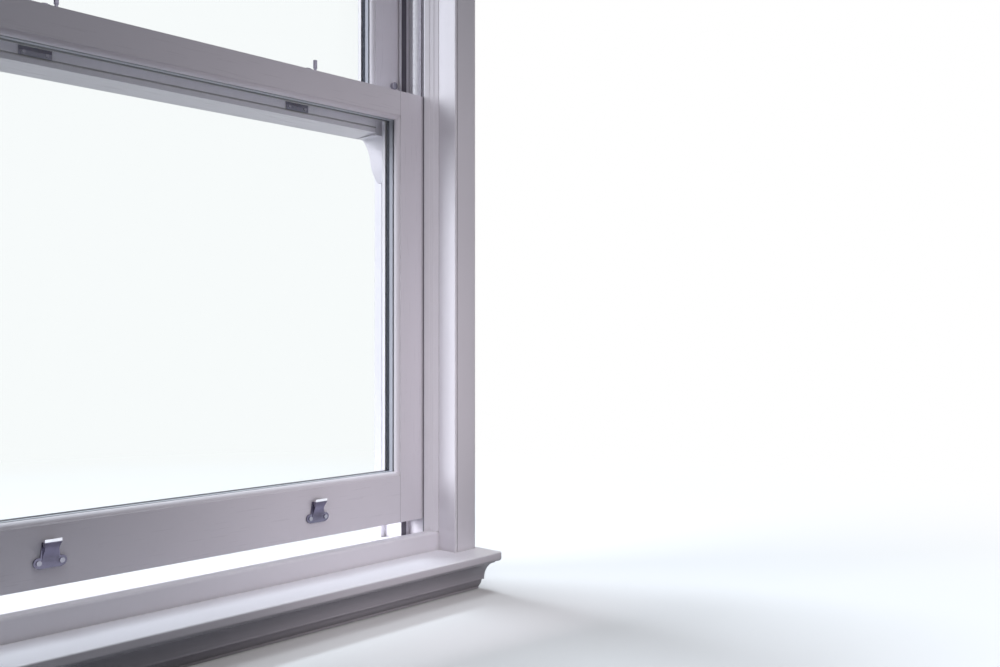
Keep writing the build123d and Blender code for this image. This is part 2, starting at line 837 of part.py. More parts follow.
def glazing_bead_waste(section, sight, outward, y):
    """What is planed off a glazing bead to leave its outdoor slope."""
    back = y + glazing_bead_depth
    with BuildSketch(section) as waste:
        with BuildLine():
            Polyline(
                (sight, y + glazing_bead_edge),
                (sight + outward * glazing_bead_slope, back),
                (sight + outward * glazing_bead_slope, back + cut_margin),
                (sight - outward * cut_margin, back + cut_margin),
                (sight - outward * cut_margin, y + glazing_bead_edge),
                close=True,
            )
        make_face()
    return waste.sketch


def make_glazing_beads(front, sight_bottom, sight_top, word):
    """Four sloped beads, mitred with a hairline joint, that hold the unit in from outdoors."""
    y = front + moulding_depth + 2 * pane_thickness + cavity_depth
    gap = glazing_bead_joint
    outer_x = sight_x + rebate_width
    with BuildPart() as beads:
        for side in (-1, 1):
            with BuildSketch(front_view(y)):
                with BuildLine():
                    Polyline(
                        (side * outer_x, sight_bottom - rebate_width + gap),
                        (side * outer_x, sight_top + rebate_width - gap),
                        (side * sight_x, sight_top - gap),
                        (side * sight_x, sight_bottom + gap),
                        close=True,
                    )
                make_face()
            extrude(amount=-glazing_bead_depth)
            extrude(glazing_bead_waste(stile_section, side * sight_x, side, y), amount=head_top,
                    mode=Mode.SUBTRACT)
        for sight, upward in ((sight_bottom, -1), (sight_top, 1)):
            with BuildSketch(front_view(y)):
                with BuildLine():
                    Polyline(
                        (-outer_x, sight + upward * rebate_width),
                        (outer_x, sight + upward * rebate_width),
                        (sight_x, sight),
                        (-sight_x, sight),
                        close=True,
                    )
                make_face()
            extrude(amount=-glazing_bead_depth)
            extrude(glazing_bead_waste(rail_section, sight, upward, y), amount=outer_x, both=True,
                    mode=Mode.SUBTRACT)
    save(beads, f"{word}_glazing_beads")


def make_lower_sash():
    front = inner_sash_front
    foot = lower_bottom - rail_bevel_fall
    with BuildPart() as foot_waste:
        extrude(sill_bevel(lower_bottom), amount=half_frame, both=True)
    for side, name in ((-1, "lower_stile_left"), (1, "lower_stile_right")):
        outline = stile_outline(side, front, foot, lower_top, lower_sight_bottom, lower_sight_top)
        make_stile(side, front, outline, lower_sight_bottom, lower_sight_top,
                   lower_bottom + balance_groove_end, lower_top, foot_waste.part, name)

    with BuildPart() as meeting_rail:
        extrude(rail_outline(front, lower_sight_top, lower_top, lower_sight_top, 1),
                amount=-sash_thickness)
        extrude(rebate_outline(front + moulding_depth, lower_sight_bottom, lower_sight_top),
                amount=-sash_thickness, mode=Mode.SUBTRACT)
        extrude(moulding_waste(rail_section, lower_sight_top, 1, front), amount=half_frame, both=True,
                mode=Mode.SUBTRACT)
        with BuildSketch(Plane.XY.offset(lower_top)):
            with Locations(*fastener_screw_places()):
                Circle(furniture_screw_radius + pilot_clearance)
        extrude(amount=-furniture_screw_length, mode=Mode.SUBTRACT)
    save(meeting_rail, "lower_meeting_rail")

    with BuildPart() as bottom_rail:
        extrude(rail_outline(front, foot, lower_sight_bottom, lower_sight_bottom, -1),
                amount=-sash_thickness)
        extrude(rebate_outline(front + moulding_depth, lower_sight_bottom, lower_sight_top),
                amount=-sash_thickness, mode=Mode.SUBTRACT)
        extrude(moulding_waste(rail_section, lower_sight_bottom, -1, front), amount=half_frame, both=True,
                mode=Mode.SUBTRACT)
        extrude(sill_bevel(lower_bottom), amount=half_frame, both=True, mode=Mode.SUBTRACT)
        with BuildSketch(front_view(front)):
            with Locations(*lift_screw_places()):
                Circle(furniture_screw_radius + pilot_clearance)
        extrude(amount=-furniture_screw_length, mode=Mode.SUBTRACT)
    save(bottom_rail, "lower_bottom_rail")

    make_panes(front, lower_sight_bottom, lower_sight_top, "lower")
    make_glazing_beads(front, lower_sight_bottom, lower_sight_top, "lower")
    make_balance_hangers(inner_tube_y, lower_bottom + balance_groove_end, "lower")


def make_upper_sash():
    front = outer_sash_front
    stud_z = closed_top + stud_above_rail
    for side, name in ((-1, "upper_stile_left"), (1, "upper_stile_right")):
        with BuildPart() as stud_hole:
            with BuildSketch(front_view(front)):
                with Locations((side * stud_offset, stud_z)):
                    Circle(stud_neck_radius + pilot_clearance)
            extrude(amount=-stud_neck_depth)
        with BuildSketch(front_view(front)) as outline:
            add(stile_outline(side, front, upper_bottom, upper_top, upper_sight_bottom, upper_sight_top))
            add(horn_outline(side))
        make_stile(side, front, outline.sketch, upper_sight_bottom, upper_sight_top,
                   upper_bottom + balance_groove_end, upper_top, stud_hole.part, name)

    with BuildPart() as top_rail:
        extrude(rail_outline(front, upper_sight_top, upper_top, upper_sight_top, 1),
                amount=-sash_thickness)
        extrude(rebate_outline(front + moulding_depth, upper_sight_bottom, upper_sight_top),
                amount=-sash_thickness, mode=Mode.SUBTRACT)
        extrude(moulding_waste(rail_section, upper_sight_top, 1, front), amount=half_frame, both=True,
                mode=Mode.SUBTRACT)
    save(top_rail, "upper_top_rail")

    groove_z = upper_bottom + upper_rail_groove_rise
    with BuildPart() as meeting_rail:
        with BuildSketch(side_view(0)):
            with BuildLine():
                Polyline(
                    (front, upper_bottom + upper_rail_drip_fall),
                    (front, groove_z),
                    (front + upper_rail_groove_depth, groove_z),
                    (front + upper_rail_groove_depth, groove_z + upper_rail_groove_height),
                    (front, groove_z + upper_rail_groove_height),
                    (front, closed_top - upper_rail_bevel_height),
                    (front + upper_rail_bevel_depth, closed_top),
                    (outer_sash_back, closed_top),
                    (outer_sash_back, upper_bottom),
                    close=True,
                )
            make_face()
        extrude(amount=half_frame, both=True)
        extrude(rail_outline(front, upper_bottom, closed_top, upper_sight_bottom, -1),
                amount=-sash_thickness, mode=Mode.INTERSECT)
        extrude(rebate_outline(front + moulding_depth, upper_sight_bottom, upper_sight_top),
                amount=-sash_thickness, mode=Mode.SUBTRACT)
        with BuildSketch(front_view(front)):
            with Locations(*keep_screw_places()):
                Circle(keep_screw_radius + pilot_clearance)
        extrude(amount=-keep_screw_length, mode=Mode.SUBTRACT)
    save(meeting_rail, "upper_meeting_rail")

    with BuildPart() as studs:
        with BuildSketch(front_view(front)):
            with Locations((-stud_offset, stud_z), (stud_offset, stud_z)):
                Circle(stud_radius)
        extrude(amount=stud_projection)
        fillet(studs.edges().filter_by(GeomType.CIRCLE).group_by(Axis.Y)[0], radius=arris_radius)
        with BuildSketch(front_view(front)):
            with Locations((-stud_offset, stud_z), (stud_offset, stud_z)):
                Circle(stud_neck_radius)
        extrude(amount=-stud_neck_depth)
    save(studs, "stop_studs")

    make_panes(front, upper_sight_bottom, upper_sight_top, "upper")
    make_glazing_beads(front, upper_sight_bottom, upper_sight_top, "upper")
    make_balance_hangers(outer_tube_y, upper_bottom + balance_groove_end, "upper")


def make_balance_hangers(y, groove_foot, word):
    """The brackets in the feet of a sash's grooves and the rods that stand on them."""
    plate_x = half_sash - balance_groove_depth / 2
    boss_foot = groove_foot + bracket_plate
    rod_foot = boss_foot + bracket_boss_height
    with BuildPart() as brackets:
        with BuildSketch(Plane.XY.offset(groove_foot)):
            with Locations((-plate_x, y), (plate_x, y)):
                Rectangle(balance_groove_depth - 2 * bracket_clearance,
                          balance_groove_width - 2 * bracket_clearance)
        extrude(amount=bracket_plate)
        with BuildSketch(Plane.XY.offset(boss_foot)):
            with Locations((-tube_x, y), (tube_x, y)):
                Circle(bracket_boss_radius)
        extrude(amount=bracket_boss_height)
    save(brackets, f"{word}_balance_brackets")
    with BuildPart() as rods:
        with BuildSketch(Plane.XY.offset(rod_foot)):
            with Locations((-tube_x, y), (tube_x, y)):
                Circle(balance_rod_radius)
        extrude(amount=rod_length)
    save(rods, f"{word}_balance_rods")


def make_brush_seals():
    """A brush strip behind the lower meeting rail and one along the sloped foot of the bottom rail."""
    top = lower_top - seal_from_top
    with BuildPart() as seals:
        with BuildSketch(side_view(0)):
            with Locations((inner_sash_back + seal_height / 2, top - seal_thickness / 2)):
                Rectangle(seal_height, seal_thickness)
        extrude(amount=face_edge_x, both=True)
        back = inner_sash_back - bottom_seal_width
        back_z = lower_bottom - (back - inner_sash_front) * sill_slope
        front_z = back_z + bottom_seal_width * sill_slope
        with BuildSketch(side_view(0)):
            with BuildLine():
                Polyline(
                    (back, back_z),
                    (back, back_z - bottom_seal_height),
                    (back - bottom_seal_width, front_z - bottom_seal_height),
                    (back - bottom_seal_width, front_z),
                    close=True,
                )
            make_face()
        extrude(amount=face_edge_x, both=True)
    save(seals, "lower_brush_seals")


# Hook lifts on the bottom rail, cast with two ears below a tongue that curls out to a lip
def lift_screw_places():
    z = lower_bottom + lift_rise + lift_ear_height
    half = lift_ear_spacing / 2
    middles = (-furniture_offset - lift_set_left, furniture_offset - lift_set_left)
    return [(x + ear * half, z) for x in middles for ear in (-1, 1)]


def arc_middle(start, end, sag):
    """The middle point of an arc that stands off its chord by the sag, to the right of the way."""
    across = end[0] - start[0]
    up = end[1] - start[1]
    length = (across ** 2 + up ** 2) ** 0.5
    return ((start[0] + end[0]) / 2 + sag * up / length, (start[1] + end[1]) / 2 - sag * across / length)


def make_lift(side, name):
    x = side * furniture_offset - lift_set_left
    foot = lower_bottom + lift_rise
    top = foot + lift_height
    plate_front = inner_sash_front - lift_plate_thickness
    lip_front = inner_sash_front - lift_reach
    root = (plate_front, foot + lift_root_rise)
    lip_low = (lip_front, top - lift_lip_height)
    lip_high = (lip_front, top)
    root_top = (plate_front, foot + lift_root_rise + lift_root_height)
    waist_z = foot + lift_waist_rise
    with BuildPart() as tongue:
        with BuildSketch(side_view(x)):
            with BuildLine():
                ThreePointArc(root, arc_middle(root, lip_low, lift_sag), lip_low)
                Line(lip_low, lip_high)
                ThreePointArc(lip_high, arc_middle(root_top, lip_high, lift_top_sag), root_top)
                Line(root_top, root)
            make_face()
        extrude(amount=lift_lip_width, both=True)
        with BuildSketch(front_view(inner_sash_front)):
            with BuildLine():
                Polyline(
                    (x - lift_foot_width / 2, foot),
                    (x - lift_waist_width / 2, waist_z),
                    (x - lift_lip_width / 2, top - lift_lip_height),
                    (x - lift_lip_width / 2, top),
                    (x + lift_lip_width / 2, top),
                    (x + lift_lip_width / 2, top - lift_lip_height),
                    (x + lift_waist_width / 2, waist_z),
                    (x + lift_foot_width / 2, foot),
                    close=True,
                )
            make_face()
        extrude(amount=2 * lift_reach, mode=Mode.INTERSECT)
    with BuildPart() as lift:
        with BuildSketch(front_view(inner_sash_front)):
            with BuildLine():
                Polyline(
                    (x - lift_ear_spacing / 2, foot),
                    (x + lift_ear_spacing / 2, foot),
                    (x + lift_top_width / 2, top - lift_lip_height),
                    (x - lift_top_width / 2, top - lift_lip_height),
                    close=True,
                )
            make_face()
            with Locations((x - lift_ear_spacing / 2, foot + lift_ear_height),
                           (x + lift_ear_spacing / 2, foot + lift_ear_height)):
                Circle(lift_ear_radius)
        extrude(amount=lift_plate_thickness)
        add(tongue.part)
        with BuildSketch(front_view(inner_sash_front)):
            with Locations(*lift_screw_places()):
                Circle(furniture_screw_radius + furniture_screw_clearance)
        extrude(amount=lift_plate_thickness, mode=Mode.SUBTRACT)
        with BuildSketch(front_view(plate_front)):
            with Locations(*lift_screw_places()):
                Circle(furniture_screw_head_radius + furniture_screw_clearance)
        extrude(amount=lift_reach, mode=Mode.SUBTRACT)
    save(lift, name)


# Fasteners: bases and arms on the lower meeting rail, keeps on the upper one
fastener_y = inner_sash_back - fastener_from_back
base_top = lower_top + fastener_base_thickness
arm_foot = base_top + fastener_post_height + fastener_hub_gap
arm_top = arm_foot + fastener_arm_thickness


def fastener_screw_places():
    half = fastener_screw_spacing / 2
    return [(side * furniture_offset + end * half, fastener_y) for side in (-1, 1) for end in (-1, 1)]


def make_fastener_base(side, name):
    """A plate with a post, and a headed pin that the arm turns on."""
    x = side * furniture_offset
    with BuildPart() as base:
        with BuildSketch(Plane.XY.offset(lower_top)):
            with Locations((x, fastener_y)):
                RectangleRounded(fastener_base_length, fastener_base_width, fastener_base_corner)
            with Locations(*fastener_screw_places()):
                Circle(furniture_screw_radius + furniture_screw_clearance, mode=Mode.SUBTRACT)
        extrude(amount=fastener_base_thickness)
        with BuildSketch(Plane.XY.offset(base_top)):
            with Locations((x, fastener_y)):
                Circle(fastener_post_radius)
        extrude(amount=fastener_post_height)
        with BuildSketch(Plane.XY.offset(base_top + fastener_post_height)):
            with Locations((x, fastener_y)):
                Circle(fastener_pin_radius)
        extrude(amount=fastener_hub_gap + fastener_arm_thickness + fastener_pin_end_gap)
        with BuildSketch(Plane.XY.offset(arm_top + fastener_pin_end_gap)):
            with Locations((x, fastener_y)):
                Circle(fastener_pin_head_radius)
        extrude(amount=fastener_pin_head_height)
    save(base, name)


def make_fastener_arm(side, name):
    """The arm lies along the rail when open. Its tail carries the knob and its tip enters the keep."""
    x = side * furniture_offset
    tip_x = x - fastener_arm_reach + fastener_arm_tip_radius
    tail_x = x + fastener_tail_reach
    with BuildPart() as arm:
        with BuildSketch(Plane.XY.offset(arm_foot)):
            with Locations((x, fastener_y)):
                Circle(fastener_hub_radius)
            with Locations(((tip_x + x) / 2, fastener_y)):
                Rectangle(x - tip_x, 2 * fastener_arm_tip_radius)
            with Locations((tip_x, fastener_y)):
                Circle(fastener_arm_tip_radius)
            with Locations(((tail_x + x) / 2, fastener_y)):
                Rectangle(fastener_tail_reach, 2 * fastener_tail_radius)
            with Locations((tail_x, fastener_y)):
                Circle(fastener_tail_radius)
            with Locations((x, fastener_y)):
                Circle(fastener_pin_radius + fastener_pin_clearance, mode=Mode.SUBTRACT)
        extrude(amount=fastener_arm_thickness)
        with BuildSketch(Plane.XY.offset(arm_top)):
            with Locations((tail_x, fastener_y)):
                Circle(fastener_knob_neck_radius)
        extrude(amount=fastener_knob_neck_height)
        with BuildSketch(Plane.XY.offset(arm_top + fastener_knob_neck_height)):
            with Locations((tail_x, fastener_y)):
                Circle(fastener_knob_radius)
        extrude(amount=fastener_knob_height)
        rims = arm.edges().filter_by(GeomType.CIRCLE).group_by(Axis.Z)[-1]
        fillet(rims, radius=arris_radius)
    save(arm, name)


def keep_screw_places():
    z = closed_top + keep_plate - keep_flange_height + keep_screw_rise
    half = keep_screw_spacing / 2
    return [(side * furniture_offset + end * half, z) for side in (-1, 1) for end in (-1, 1)]


def make_keep(side, name):
    """A folded keep: a ribbed flange on the rail's face, a plate on its top and a mouth over that."""
    x = side * furniture_offset
    face = outer_sash_front - keep_plate
    foot = closed_top + keep_plate - keep_flange_height
    back = face + keep_depth
    lip = closed_top + keep_plate + keep_mouth_height
    with BuildPart() as keep:
        with BuildSketch(side_view(x)):
            with BuildLine():
                Polyline(
                    (face, foot),
                    (outer_sash_front, foot),
                    (outer_sash_front, closed_top),
                    (back, closed_top),
                    (back, lip + keep_plate),
                    (face + keep_mouth_set_back, lip + keep_plate),
                    (face + keep_mouth_set_back, lip),
                    (back - keep_plate, lip),
                    (back - keep_plate, closed_top + keep_plate),
                    (face, closed_top + keep_plate),
                    close=True,
                )
            make_face()
        extrude(amount=keep_width / 2, both=True)
        with BuildSketch(front_view(face)):
            with Locations((x, foot + keep_ridge_rise)):
                with GridLocations(0, keep_ridge_spacing, 1, keep_ridge_count):
                    Rectangle(keep_ridge_length, keep_ridge_height)
        extrude(amount=keep_ridge_depth)
        with BuildSketch(front_view(face)):
            with Locations(*keep_screw_places()):
                Circle(keep_screw_radius + furniture_screw_clearance)
        extrude(amount=-keep_plate, mode=Mode.SUBTRACT)
    save(keep, name)


def make_furniture_screws():
    """The eight like screws that hold the lifts and the fastener bases."""
    lift_face = inner_sash_front - lift_plate_thickness
    with BuildPart() as screws:
        for radius, rise in ((furniture_screw_head_radius, furniture_screw_head_height),
                             (furniture_screw_radius, -furniture_screw_length)):
            with BuildSketch(front_view(lift_face)):
                with Locations(*lift_screw_places()):
                    Circle(radius)
            extrude(amount=rise)
            with BuildSketch(Plane.XY.offset(base_top)):
                with Locations(*fastener_screw_places()):
                    Circle(radius)
            extrude(amount=rise)
    save(screws, "furniture_screws")


def make_keep_screws():
    face = outer_sash_front - keep_plate
    with BuildPart() as screws:
        for radius, rise in ((keep_screw_head_radius, keep_screw_head_height),
                             (keep_screw_radius, -keep_screw_length)):
            with BuildSketch(front_view(face)):
                with Locations(*keep_screw_places()):
                    Circle(radius)
            extrude(amount=rise)
    save(screws, "keep_screws")


make_sill()
make_jamb(-1, "jamb_left")
make_jamb(1, "jamb_right")
make_head()
make_outer_linings()
make_reveal_linings()
make_architraves()
make_staff_beads()
make_parting_beads()
make_bottom_bead()
make_window_board()
make_bed_mould()
make_balance_tubes()
make_balance_bushes()
make_tube_screws()
make_lower_sash()
make_brush_seals()
make_upper_sash()
for side, word in ((-1, "left"), (1, "right")):
    make_lift(side, f"hook_lift_{word}")
    make_fastener_base(side, f"fastener_base_{word}")
    make_fastener_arm(side, f"fastener_arm_{word}")
    make_keep(side, f"fastener_keep_{word}")
make_furniture_screws()
make_keep_screws()
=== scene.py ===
import bmesh
import bpy
import math
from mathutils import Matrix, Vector


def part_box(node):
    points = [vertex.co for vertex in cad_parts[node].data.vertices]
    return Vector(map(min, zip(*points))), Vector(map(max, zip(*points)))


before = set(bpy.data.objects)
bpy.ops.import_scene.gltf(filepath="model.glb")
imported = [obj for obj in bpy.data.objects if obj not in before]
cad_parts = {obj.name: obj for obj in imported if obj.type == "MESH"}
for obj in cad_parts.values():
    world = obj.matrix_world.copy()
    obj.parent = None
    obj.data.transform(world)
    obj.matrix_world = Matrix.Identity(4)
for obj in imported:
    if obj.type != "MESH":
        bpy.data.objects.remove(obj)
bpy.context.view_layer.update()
scene = bpy.context.scene
scene.view_settings.view_transform = "Standard"


# The viewpoint. The photograph was taken from inside, from the left of the window,
# a little above the raised sash's foot, with a lens of about 36 mm on full frame.
eye = bpy.data.cameras.new("eye")
eye.sensor_width = 36.0
eye.lens = 36.0
eye.clip_start = 0.05
camera = bpy.data.objects.new("eye", eye)
camera.location = (-0.820, -1.409, 0.466)
camera.rotation_euler = (math.radians(90.26), 0, math.radians(-47.9))
scene.collection.objects.link(camera)
scene.camera = camera


def linear(code):
    """An sRGB hex colour as linear red, green, blue and alpha."""
    parts = [int(code[i:i + 2], 16) / 255 for i in (1, 3, 5)]
    return [c / 12.92 if c <= 0.04045 else ((c + 0.055) / 1.055) ** 2.4 for c in parts] + [1.0]


def add(tree, kind, inputs=None, **settings):
    """One node with its settings, its values and its links."""
    made = tree.nodes.new(kind)
    for name, value in settings.items():
        setattr(made, name, value)
    for name, value in (inputs or {}).items():
        if isinstance(value, bpy.types.NodeSocket):
            tree.links.new(value, made.inputs[name])
        else:
            made.inputs[name].default_value = value
    return made


# The sky and the room around the window. Seen directly, in a reflection or through the
# panes it is plain white, and it lights the timber as a dull day does.
world = bpy.data.worlds.new("daylight")
scene.world = world
world.use_nodes = True
air = world.node_tree
air.nodes.clear()
dull_day = add(air, "ShaderNodeBackground", {"Color": linear("#EAE8EE"), "Strength": 0.04})
plain_white = add(air, "ShaderNodeBackground", {"Color": linear("#FFFFFF"), "Strength": 1.0})


def seen_by_eye(tree):
    """1 where a surface is seen directly, through glass or in a mirror, and 0 for its light."""
    ray = add(tree, "ShaderNodeLightPath")
    direct = add(tree, "ShaderNodeMath", {0: ray.outputs["Is Camera Ray"],
                                          1: ray.outputs["Is Transmission Ray"]}, operation="MAXIMUM")
    return add(tree, "ShaderNodeMath", {0: direct.outputs[0], 1: ray.outputs["Is Glossy Ray"]},
               operation="MAXIMUM").outputs[0]


sky = add(air, "ShaderNodeMixShader", {0: seen_by_eye(air), 1: dull_day.outputs[0],
                                       2: plain_white.outputs[0]})
add(air, "ShaderNodeOutputWorld", {"Surface": sky.outputs[0]})


# The pale floor that the window stands on, a broad sheet of matt paper. It fades into the
# white of the background a few paces away.
FLOOR_REACH = 9.0
FADE_START = 0.8
FADE_END = 2.6
floor_mesh = bpy.data.meshes.new("floor")
floor_form = bmesh.new()
bmesh.ops.create_grid(floor_form, x_segments=2, y_segments=2, size=FLOOR_REACH)
floor_form.to_mesh(floor_mesh)
floor_form.free()
floor = bpy.data.objects.new("floor", floor_mesh)
floor.location = (0, 0, -0.0005)
scene.collection.objects.link(floor)
paper = bpy.data.materials.new("matt_white_paper")
paper.use_nodes = True
sheet = paper.node_tree
sheet.nodes.clear()
# it throws back less light than a sheet of its tone would, as a carpeted floor does
shade = add(sheet, "ShaderNodeMix", {0: seen_by_eye(sheet), 6: linear("#5C5C62"),
                                     7: linear("#F0F0F2")}, data_type="RGBA")
matt = add(sheet, "ShaderNodeBsdfDiffuse", {"Color": shade.outputs[2]})
bare_white = add(sheet, "ShaderNodeEmission", {"Color": linear("#FFFFFF"), "Strength": 1.0})
away = add(sheet, "ShaderNodeVectorMath", {0: add(sheet, "ShaderNodeTexCoord").outputs["Object"]},
           operation="LENGTH")
faded = add(sheet, "ShaderNodeMapRange", {"Value": away.outputs["Value"], "From Min": FADE_START,
                                          "From Max": FADE_END, "To Min": 0.15},
            interpolation_type="SMOOTHSTEP")
blank = add(sheet, "ShaderNodeMath", {0: faded.outputs[0], 1: seen_by_eye(sheet)},
            operation="MULTIPLY")
ground = add(sheet, "ShaderNodeMixShader", {0: blank.outputs[0], 1: matt.outputs[0],
                                            2: bare_white.outputs[0]})
add(sheet, "ShaderNodeOutputMaterial", {"Surface": ground.outputs[0]})
floor_mesh.materials.append(paper)


# Soft light: daylight outdoors from above and from the left, from broad clouds far away. The
# room side gets the weaker light that the window board and the room throw back, and a
# little from a pale ceiling.
def soft_light(name, place, aim, width, watts, tint):
    lamp = bpy.data.lights.new(name, "AREA")
    lamp.shape = "SQUARE"
    lamp.size = width
    lamp.energy = watts
    lamp.color = linear(tint)[:3]
    holder = bpy.data.objects.new(name, lamp)
    holder.location = place
    holder.rotation_euler = (Vector(aim) - Vector(place)).to_track_quat("-Z", "Y").to_euler()
    holder.visible_camera = False
    holder.visible_glossy = False
    scene.collection.objects.link(holder)


soft_light("daylight_above", (-1.6, 8.3, 22.5), (0, -0.15, 0.05), 6.0, 4750, "#EEF8FF")
soft_light("daylight_from_left", (-15.6, 7.7, 4.6), (0.4, -0.1, 0.6), 8.0, 3650, "#F8F9FF")
soft_light("light_thrown_back", (0.30, -0.46, 0.30), (0.37, 0, 0.36), 0.4, 0.66, "#FFF6FC")
soft_light("light_from_room", (0.34, -0.62, 0.78), (0.46, 0, 0.72), 0.4, 0.64, "#FFF6FC")
soft_light("light_from_ceiling", (-1.6, -4.1, 19.6), (0, -0.1, 0.3), 8.0, 1250, "#F4FAFF")


# Sill, window board and bed mould: planed softwood. The sill is rebated under the sashes and
# weathered outdoors, the board is tongued to it and the bed mould is pinned below the board.
# A brush has left marks in the white satin paint along every length.
def satin_paint(name, code, along, gloss_off, mark_depth, joint=None, pile=None):
    """White satin paint with marks along x or z. Dust and painted shade darken its inner corners.
    Where a joint is given the paint has cracked in a hairline at that distance from the middle.
    Where pile is given a grey brush strip is let in, up to a distance from the middle and
    between two y."""
    material = bpy.data.materials.new(name)
    material.use_nodes = True
    tree = material.node_tree
    skin = tree.nodes["Principled BSDF"]
    place = add(tree, "ShaderNodeTexCoord").outputs["Object"]
    # bristle marks are about 1 mm apart and drawn 3 mm apart so that they show from a step away,
    # and one mark runs for about 80 mm
    marks_to_metre = 330.0
    marks_lengthwise = 12.0
    stretch = [marks_to_metre] * 3
    stretch["xyz".index(along)] = marks_lengthwise
    lengthwise = add(tree, "ShaderNodeMapping", {"Vector": place, "Scale": stretch})
    marks = add(tree, "ShaderNodeTexNoise", {"Vector": lengthwise.outputs[0], "Scale": 1.0,
                                             "Detail": 4.0, "Roughness": 0.6})
    # orange peel dimples are about 1.2 mm across
    peel = add(tree, "ShaderNodeTexNoise", {"Vector": place, "Scale": 830.0, "Detail": 1.0})
    # the tone drifts over about 150 mm, the reach of one stroke
    drift = add(tree, "ShaderNodeTexNoise", {"Vector": place, "Scale": 6.5, "Detail": 4.0})
    clean = linear(code)
    drifted = [c * 0.93 for c in clean[:3]] + [1]
    tone = add(tree, "ShaderNodeMix", {0: drift.outputs["Fac"], 6: drifted, 7: clean},
               data_type="RGBA")
    # dust and painted shade darken the paint within 12 mm of a corner, found by ambient occlusion
    nook = add(tree, "ShaderNodeAmbientOcclusion", {"Distance": 0.012}, samples=6)
    dust_and_shade = add(tree, "ShaderNodeMapRange", {"Value": nook.outputs["AO"], "From Min": 0.15,
                                            "From Max": 0.8, "To Min": 0.45, "To Max": 0.0})
    colour = add(tree, "ShaderNodeMix", {0: dust_and_shade.outputs[0], 6: tone.outputs[2],
                                         7: linear("#8F8983")}, data_type="RGBA")
    split = add(tree, "ShaderNodeSeparateXYZ", {0: place})
    off_middle = add(tree, "ShaderNodeMath", {0: split.outputs["X"]}, operation="ABSOLUTE")
    if joint:
        # the hairline opens over the last 0.9 mm before the joint
        crack = add(tree, "ShaderNodeMapRange", {"Value": off_middle.outputs[0],
                                                 "From Min": joint - 0.0009,
                                                 "From Max": joint - 0.0003, "To Max": 0.75})
        colour = add(tree, "ShaderNodeMix", {0: crack.outputs[0], 6: colour.outputs[2],
                                             7: linear("#77727A")}, data_type="RGBA")
    if pile:
        reach, front, back = pile
        strip = add(tree, "ShaderNodeMath", {0: off_middle.outputs[0], 1: reach},
                    operation="LESS_THAN")
        for edge, side in ((front, "GREATER_THAN"), (back, "LESS_THAN")):
            within = add(tree, "ShaderNodeMath", {0: split.outputs["Y"], 1: edge}, operation=side)
            strip = add(tree, "ShaderNodeMath", {0: strip.outputs[0], 1: within.outputs[0]},
                        operation="MULTIPLY")
        # the tufts are about 0.7 mm across
        tuft = add(tree, "ShaderNodeTexNoise", {"Vector": place, "Scale": 1500.0, "Detail": 2.0})
        hair = add(tree, "ShaderNodeMix", {0: tuft.outputs["Fac"], 6: linear("#3C3942"),
                                           7: linear("#77737E")}, data_type="RGBA")
        colour = add(tree, "ShaderNodeMix", {0: strip.outputs[0], 6: colour.outputs[2],
                                             7: hair.outputs[2]}, data_type="RGBA")
    tree.links.new(colour.outputs[2], skin.inputs["Base Color"])
    sheen = add(tree, "ShaderNodeMapRange", {"Value": marks.outputs["Fac"], "From Min": 0.3,
                                             "From Max": 0.7, "To Min": gloss_off - 0.05,
                                             "To Max": gloss_off + 0.08})
    tree.links.new(sheen.outputs[0], skin.inputs["Roughness"])
    # every arris was rubbed down to a radius of about 0.8 mm before painting
    eased = add(tree, "ShaderNodeBevel", {"Radius": 0.0008}, samples=4)
    dimpled = add(tree, "ShaderNodeBump", {"Height": peel.outputs["Fac"], "Distance": 0.00003,
                                           "Normal": eased.outputs[0]})
    brushed = add(tree, "ShaderNodeBump", {"Height": marks.outputs["Fac"], "Distance": mark_depth,
                                           "Normal": dimpled.outputs[0]})
    tree.links.new(brushed.outputs[0], skin.inputs["Normal"])
    return material


def finish_node(name, material):
    """Give one CAD piece its finish."""
    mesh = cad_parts[name].data
    mesh.materials.clear()
    mesh.materials.append(material)


BRUSHED = "#EDEAF0"
BRUSHED_GLOSS = 0.36
BRISTLE_DEPTH = 0.00022
brushed_level = satin_paint("brushed_satin_paint_level", BRUSHED, "x", BRUSHED_GLOSS,
                            BRISTLE_DEPTH)
for name in ("sill", "window_board", "bed_mould", "bottom_bead"):
    finish_node(name, brushed_level)


# Jambs, head, linings, beads and architraves: softwood boards nailed round the opening,
# mitred at the corners and painted where they stand, with the brush drawn along each board.
brushed_upright = satin_paint("brushed_satin_paint_upright", BRUSHED, "z", BRUSHED_GLOSS,
                              BRISTLE_DEPTH)
for name in ("head", "outer_lining_head", "reveal_lining_head", "architrave_head",
             "staff_bead_head", "parting_bead_head"):
    finish_node(name, brushed_level)
for word in ("left", "right"):
    for board in ("jamb", "outer_lining", "reveal_lining", "architrave"):
        finish_node(f"{board}_{word}", brushed_upright)


# Upright beads: each staff bead is planed in slanting reeds and nailed to its jamb, and each
# parting bead is pushed into its groove. Both have a grey brush strip let in, 12.5 and 3.5 mm
# wide and level with the timber, which the sash's face runs against.
PARTING_STRIP = 0.0125
STAFF_STRIP = 0.0035
STRIP_MARGIN = 0.001
FACE_SKIN = 0.0003
EDGE_SKIN = 0.0002
bead_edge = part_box("parting_bead_right")[0].x
bead_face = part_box("parting_bead_right")[0].y
sash_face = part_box("lower_stile_right")[0].y
parting = satin_paint("brushed_satin_paint_parting_bead", BRUSHED, "z", BRUSHED_GLOSS,
                      BRISTLE_DEPTH, pile=(bead_edge + PARTING_STRIP, bead_face - STRIP_MARGIN,
                                           bead_face + FACE_SKIN))
staff_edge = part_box("staff_bead_right")[0].x
staff = satin_paint("brushed_satin_paint_staff_bead", BRUSHED, "z", BRUSHED_GLOSS,
                    BRISTLE_DEPTH, pile=(staff_edge + EDGE_SKIN, sash_face - STAFF_STRIP,
                                         sash_face + STRIP_MARGIN))
